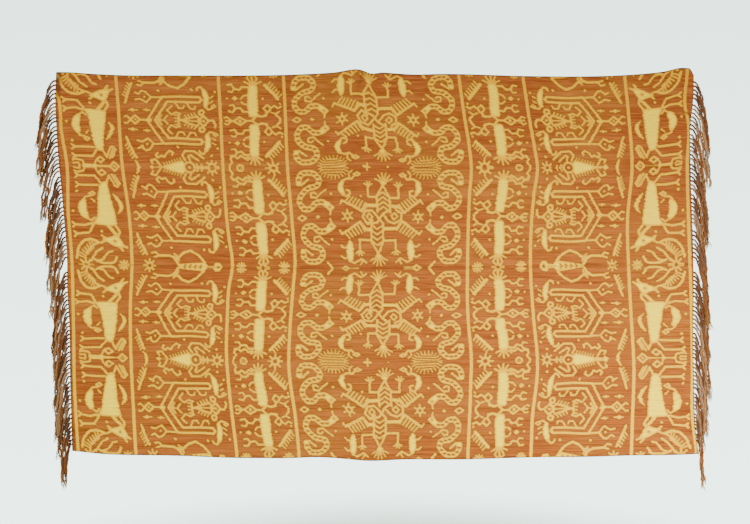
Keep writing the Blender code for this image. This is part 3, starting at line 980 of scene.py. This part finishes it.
class Graph:
    """Builds the nodes of a material or of the world with short calls."""

    def __init__(self, owner, space="Object"):
        owner.use_nodes = True
        self.owner = owner
        self.nodes = owner.node_tree.nodes
        self.links = owner.node_tree.links
        self.shader = self.nodes.get("Principled BSDF")
        self.place = self.nodes.new("ShaderNodeTexCoord").outputs[space]

    def feed(self, socket, value):
        if isinstance(value, bpy.types.NodeSocket):
            self.links.new(value, socket)
        elif socket.type == "RGBA":
            socket.default_value = (*value, 1.0)
        else:
            socket.default_value = value

    def fed(self, node, *values, **named):
        """The same node, with its first inputs fed in order and others by name."""
        for socket, value in zip(node.inputs, values):
            self.feed(socket, value)
        for name, value in named.items():
            self.feed(node.inputs[name], value)
        return node

    def number(self, name):
        node = self.nodes.new("ShaderNodeAttribute")
        node.attribute_name = name
        return node.outputs["Fac"]

    def math(self, operation, *values):
        node = self.nodes.new("ShaderNodeMath")
        node.operation = operation
        return self.fed(node, *values).outputs[0]

    def vector(self, operation, *values):
        node = self.nodes.new("ShaderNodeVectorMath")
        node.operation = operation
        return self.fed(node, *values).outputs

    def parts(self):
        """The three parts of the place."""
        return self.fed(self.nodes.new("ShaderNodeSeparateXYZ"), self.place).outputs

    def noise(self, across, out, down, detail=2.0, shift=0.0):
        place = self.vector("MULTIPLY_ADD", self.place, (across, out, down), (shift, shift, shift))[0]
        node = self.nodes.new("ShaderNodeTexNoise")
        return self.fed(node, Vector=place, Scale=1.0, Detail=detail).outputs["Fac"]

    def spread(self, value, low, high, least=0.0, most=1.0, kind="LINEAR"):
        """A value taken from one range to another."""
        node = self.nodes.new("ShaderNodeMapRange")
        node.interpolation_type = kind
        return self.fed(node, value, low, high, least, most).outputs[0]

    def soft_step(self, value, low, high, most=1.0):
        return self.spread(value, low, high, 0.0, most, "SMOOTHSTEP")

    def blend(self, factor, first, second, kind="MIX"):
        node = self.nodes.new("ShaderNodeMixRGB")
        node.blend_type = kind
        return self.fed(node, factor, first, second).outputs[0]

    def wash(self, color, over, value, low, high, most=1.0):
        """One colour laid over another where a value passes a soft step."""
        return self.blend(self.soft_step(value, low, high, most), color, over)

    def shades(self, value, low, high, *colors):
        """A run of colours, evenly spaced between two values."""
        place = self.spread(value, low, high)
        node = self.nodes.new("ShaderNodeValToRGB")
        stops = node.color_ramp.elements
        while len(stops) < len(colors):
            stops.new(0.5)
        for order, color in enumerate(colors):
            stops[order].position = order / (len(colors) - 1)
            stops[order].color = (*color, 1.0)
        return self.fed(node, place).outputs[0]

    def bump(self, height, distance, strength):
        node = self.nodes.new("ShaderNodeBump")
        self.fed(node, Distance=distance, Strength=strength, Height=height)
        self.feed(self.shader.inputs["Normal"], node.outputs[0])

    def finish(self, color, roughness, sheen):
        self.feed(self.shader.inputs["Base Color"], color)
        self.feed(self.shader.inputs["Roughness"], roughness)
        self.shader.inputs["Sheen Weight"].default_value = sheen
        self.shader.inputs["Sheen Tint"].default_value = WARM_SHEEN
        self.shader.inputs["Specular IOR Level"].default_value = 0.06
        return self.owner


# Dyes from the lower edge up to the top, at these heights in metres: painted light and shade, lighter lower
# down and darker at the top
LOW = -1.54
HIGH = 0.0
RUST = [(0.345, 0.086, 0.010), (0.312, 0.073, 0.009), (0.262, 0.057, 0.008), (0.170, 0.033, 0.006)]
STRAW = [(0.950, 0.660, 0.006), (0.880, 0.600, 0.005), (0.780, 0.515, 0.004), (0.630, 0.410, 0.003)]
AMBER = [(0.740, 0.370, 0.004), (0.650, 0.310, 0.004), (0.510, 0.232, 0.003)]
GOLD = [(0.820, 0.440, 0.003), (0.640, 0.335, 0.003), (0.510, 0.238, 0.003)]
DARK_RUST = (0.140, 0.028, 0.005)
OLIVE = (0.125, 0.056, 0.005)
PALE_RUST = (0.440, 0.135, 0.026)
FADED = (0.640, 0.370, 0.016)
# the brown of the specks, also used for the painted shade in the creases
SPECK_AND_CREASE_SHADE = (0.070, 0.022, 0.008)
ROOT_BROWN = (0.105, 0.042, 0.024)
BUNDLE_RUST = (0.225, 0.075, 0.022)
TIP_TAN = (0.360, 0.160, 0.045)
PALE_YARN = (0.460, 0.270, 0.140)
# painted shade for the grooves between the plies of the strands and cords
GROOVE_SHADE = (0.020, 0.009, 0.006)
RIB_SHADE = (0.350, 0.250, 0.180)
WARM_SHEEN = (1.0, 0.60, 0.20, 1.0)


def ikat_material():
    """Rust ground, straw figures feathered along the warp, gold stripes, and the fine rib of the weave."""
    g = Graph(bpy.data.materials.new("ikat_weave"))
    height = g.parts()["Z"]
    # single warp threads run along X; each carries its dye a little to one side
    thread = g.noise(5.0, 20.0, 520.0, detail=1.0)
    bundle = g.noise(9.0, 20.0, 130.0, detail=1.0, shift=7.0)
    shift = g.math("ADD", g.math("MULTIPLY", g.math("SUBTRACT", thread, 0.5), 11.0),
                   g.math("MULTIPLY", g.math("SUBTRACT", bundle, 0.5), 11.0))
    motif = g.math("MULTIPLY_ADD", shift, g.number("motif_slope"), g.number("motif"))
    fray = g.math("MULTIPLY", g.math("SUBTRACT", g.noise(160.0, 20.0, 420.0, shift=3.0), 0.5), 5.0)
    motif = g.math("ADD", motif, fray)
    gold = g.math("MULTIPLY_ADD", g.math("MULTIPLY", shift, 0.45), g.number("gold_slope"), g.number("gold"))
    # ground, painted lighter lower down and darker at the top
    ground = g.shades(height, LOW, HIGH, *RUST)
    streak = g.noise(3.0, 20.0, 300.0, detail=3.0, shift=11.0)
    ground = g.wash(ground, DARK_RUST, streak, 0.34, 0.66, 0.95)
    fine = g.noise(10.0, 20.0, 520.0, detail=1.0, shift=15.0)
    ground = g.wash(ground, PALE_RUST, fine, 0.46, 0.70, 0.55)
    broad = g.noise(0.8, 10.0, 34.0, detail=2.0, shift=19.0)
    ground = g.wash(ground, PALE_RUST, broad, 0.45, 0.75, 0.35)
    ground = g.wash(ground, OLIVE, motif, -9.0, -1.0, 0.38)
    # figures, painted lighter lower down and darker at the top
    straw = g.shades(height, LOW, HIGH, *STRAW)
    amber = g.shades(height, LOW, HIGH, *AMBER)
    figure = g.wash(amber, straw, motif, 1.5, 9.5)
    flecks = g.noise(8.0, 20.0, 360.0, detail=2.0, shift=23.0)
    figure = g.wash(figure, AMBER[2], flecks, 0.48, 0.74, 0.6)
    color = g.wash(ground, figure, motif, -1.6, 1.6)
    # the gold stripes, painted lighter lower down and darker at the top
    line = g.shades(height, LOW, HIGH, *GOLD)
    color = g.wash(color, line, gold, -1.2, 1.8, 0.92)
    # age: soft faded patches and a few brown specks; then painted shade in the creases
    fade = g.noise(2.1, 2.0, 3.4, detail=3.0, shift=31.0)
    color = g.wash(color, FADED, fade, 0.40, 0.75, 0.07)
    specks = g.noise(95.0, 20.0, 95.0, detail=1.0, shift=41.0)
    color = g.wash(color, SPECK_AND_CREASE_SHADE, specks, 0.74, 0.80, 0.45)
    # painted shade along the creases, in the specks' brown
    color = g.blend(g.math("MULTIPLY", g.number("crease_dent_and_shade"), 0.8), color, SPECK_AND_CREASE_SHADE)
    # the rib of the weave, with painted shade in its furrows
    rib = g.math("ADD", g.noise(30.0, 30.0, 900.0, detail=1.0, shift=5.0),
                 g.math("MULTIPLY", g.noise(420.0, 30.0, 60.0, detail=1.0, shift=9.0), 0.6))
    g.bump(rib, 0.0012, 0.55)
    color = g.blend(g.soft_step(rib, 0.95, 0.55, 0.22), color, RIB_SHADE, "MULTIPLY")
    rough = g.math("MULTIPLY_ADD", streak, 0.12, 0.82)
    return g.finish(color, rough, 0.02)


def strand_material(name, root, body, tip, pale):
    """Twisted warp: dark at the root, rust along the strand, faded at the tip; a few strands stay pale."""
    g = Graph(bpy.data.materials.new(name))
    run, tone, ply_groove_shade = g.number("run"), g.number("tone"), g.number("ply_groove_shade")
    color = g.shades(run, 0.0, 1.0, root, root, body, body, body, tip)
    color = g.wash(color, pale, tone, 0.62, 0.95, 0.55)
    color = g.wash(color, root, tone, 0.35, 0.0, 0.5)
    fibre = g.noise(700.0, 700.0, 130.0, detail=2.0)
    color = g.wash(color, TIP_TAN, fibre, 0.45, 0.8, 0.3)
    # painted shade in the grooves between the plies
    color = g.wash(color, GROOVE_SHADE, ply_groove_shade, 1.2, 2.0, 0.5)
    g.bump(fibre, 0.0005, 0.5)
    return g.finish(color, g.math("MULTIPLY_ADD", fibre, 0.1, 0.84), 0.02)


def sewing_material():
    """Waxed brown sewing thread with fine fibres."""
    g = Graph(bpy.data.materials.new("sewing_thread"))
    fibre = g.noise(600.0, 600.0, 600.0, detail=2.0)
    color = g.shades(fibre, 0.3, 0.7, ROOT_BROWN, BUNDLE_RUST)
    g.bump(fibre, 0.0004, 0.5)
    return g.finish(color, g.math("MULTIPLY_ADD", fibre, 0.15, 0.7), 0.05)


def selvedge(length, material):
    """The thicker cord of warp along the outer long edge of one length."""
    level, offset = (TOP_EDGE, -2.4) if length.top is TOP_EDGE else (BOTTOM_EDGE, 1.6)
    left = smooth_line(LEFT_END, -level[0].height) + 2
    right = smooth_line(RIGHT_END, -level[-1].height) - 2
    along = np.arange(left, right, 7.0)
    height = smooth_line(level, along) + offset
    out = relief(along, -height) + ripples(along, -height)
    path = np.stack([along, -out - 0.6, height], axis=-1)
    return threads(length.name + "_selvedge", [path], SELVEDGE_RADIUS, 6, material, lobes=0.15, pitch=14.0,
                   tips=1.0)


def end_twining(length, material):
    """Pairs of cords twisted round each other, which hold the weft at both short ends of one length."""
    cords = []
    for side, end, span in ((-1, LEFT_END, length.left_run), (1, RIGHT_END, length.right_run)):
        drop = np.arange(*span, TWINING_LAY / 3.6)
        along = smooth_line(end, drop)
        for phase in (0.0, math.pi):
            turn = FULL_TURN * drop / TWINING_LAY + phase
            x = along - side * (1.6 - TWINING_RADIUS * np.cos(turn))
            y = -relief(along, drop) - ripples(along, drop) - TWINING_RADIUS * np.sin(turn)
            cords.append(np.stack([x, y, -drop], axis=-1))
    return threads(length.name + "_twining", cords, CORD_RADIUS, 5, material, lobes=0.1, pitch=8.0,
                   tips=1.0)


def seam_stitches(material):
    """Small slanting stitches over the join of the two lengths."""
    rng = random.Random(SEED)
    left = smooth_line(LEFT_END, SEAM_DROP) + 6
    right = smooth_line(RIGHT_END, SEAM_DROP) - 6
    stitches = []
    for along in np.arange(left, right, STITCH_PITCH):
        along += rng.uniform(-1.2, 1.2)
        middle = smooth_line(SEAM, along) + rng.uniform(-0.5, 0.5)
        out = relief(along, -middle)
        half = rng.uniform(2.6, 3.8)
        ends = [(-1.6, -0.4), (-0.8, 1.0), (0.0, 1.5), (0.8, 1.0), (1.6, -0.4)]
        stitches.append([(along + lean, -out - lift, middle + half * lean / 1.6) for lean, lift in ends])
    return threads("seam_stitches", stitches, STITCH_RADIUS, 4, material)


FLOOR_DROP = 2.02
FLOOR_RADIUS = 3.4
FLOOR_FADE = (0.7, 2.1)
BACK_GLOW = (3.0, 4.4)
FRONT_GLOW = 0.85
AIR_TINT = (0.80, 1.0, 0.92)
Lamp = namedtuple("Lamp", "name x y z aim size power")
LAMPS = [
    Lamp("key", -3.7, -2.0, 1.2, -0.7, 1.6, 210.0),
    Lamp("low", 1.4, -2.5, -2.4, -1.3, 1.8, 260.0),
]
EYE_DISTANCE = 5.0
VIEW_WIDTH = 3.0
VIEW_CENTRE = (-0.004, -0.756)


def floor_material():
    """Pale matt ground that fades into the air some way from the cloth."""
    g = Graph(bpy.data.materials.new("pale_floor"))
    mottle = g.math("MULTIPLY", g.noise(1.5, 1.5, 1.5), 0.03)
    g.finish(g.blend(mottle, tint(244, 248, 246), tint(205, 210, 206)), 0.95, 0.0)
    away = g.soft_step(g.vector("LENGTH", g.place)["Value"], *FLOOR_FADE)
    clear = g.nodes.new("ShaderNodeBsdfTransparent").outputs[0]
    mix = g.fed(g.nodes.new("ShaderNodeMixShader"), away, g.shader.outputs[0], clear)
    g.feed(g.nodes["Material Output"].inputs[0], mix.outputs[0])
    return g.owner


def light_air():
    """Bright air behind the cloth, brighter lower down, and dimmer air in front of it."""
    world = bpy.data.worlds.new("studio")
    bpy.context.scene.world = world
    g = Graph(world, "Generated")
    parts = g.parts()
    behind = g.spread(parts["Z"], 0.22, -0.22, *BACK_GLOW)
    glow = g.spread(parts["Y"], -0.1, 0.6, FRONT_GLOW, behind, "SMOOTHSTEP")
    g.fed(g.nodes["Background"], Color=AIR_TINT, Strength=glow)


def add_stage():
    bpy.ops.mesh.primitive_circle_add(vertices=96, radius=FLOOR_RADIUS, fill_type="NGON",
                                      location=(0, 0, -FLOOR_DROP))
    floor = bpy.context.object
    floor.name = "floor"
    floor.data.materials.append(floor_material())
    light_air()
    for lamp_row in LAMPS:
        light = bpy.data.lights.new(lamp_row.name, "AREA")
        light.size = lamp_row.size
        light.energy = lamp_row.power
        lamp = bpy.data.objects.new(lamp_row.name, light)
        lamp.location = (lamp_row.x, lamp_row.y, lamp_row.z)
        aim = Vector((0, 0, lamp_row.aim)) - lamp.location
        lamp.rotation_euler = aim.to_track_quat("-Z", "Y").to_euler()
        bpy.context.scene.collection.objects.link(lamp)
    camera = bpy.data.cameras.new("photo_view")
    camera.lens = camera.sensor_width * EYE_DISTANCE / VIEW_WIDTH
    eye = bpy.data.objects.new("photo_view", camera)
    eye.location = (VIEW_CENTRE[0], -EYE_DISTANCE, VIEW_CENTRE[1])
    eye.rotation_euler = (math.pi / 2, 0, 0)
    bpy.context.scene.collection.objects.link(eye)
    bpy.context.scene.camera = eye


def main():
    weave = ikat_material()
    twisted = strand_material("twisted_warp", ROOT_BROWN, BUNDLE_RUST, TIP_TAN, PALE_YARN)
    hair = strand_material("loose_hair", BUNDLE_RUST, BUNDLE_RUST, TIP_TAN, PALE_YARN)
    border = strand_material("selvedge_warp", ROOT_BROWN, ROOT_BROWN, ROOT_BROWN, BUNDLE_RUST)
    stitches = seam_stitches(sewing_material())
    for length in LENGTHS:
        panel = woven_panel(length, weave)
        trims = [selvedge(length, border), end_twining(length, border), stitches]
        for side, end, clumps in zip((-1, 1), ("left", "right"), length.clumps):
            trims += fringe(f"fringe_{length.name}_{end}", clumps, side, twisted, hair)
    add_stage()


main()
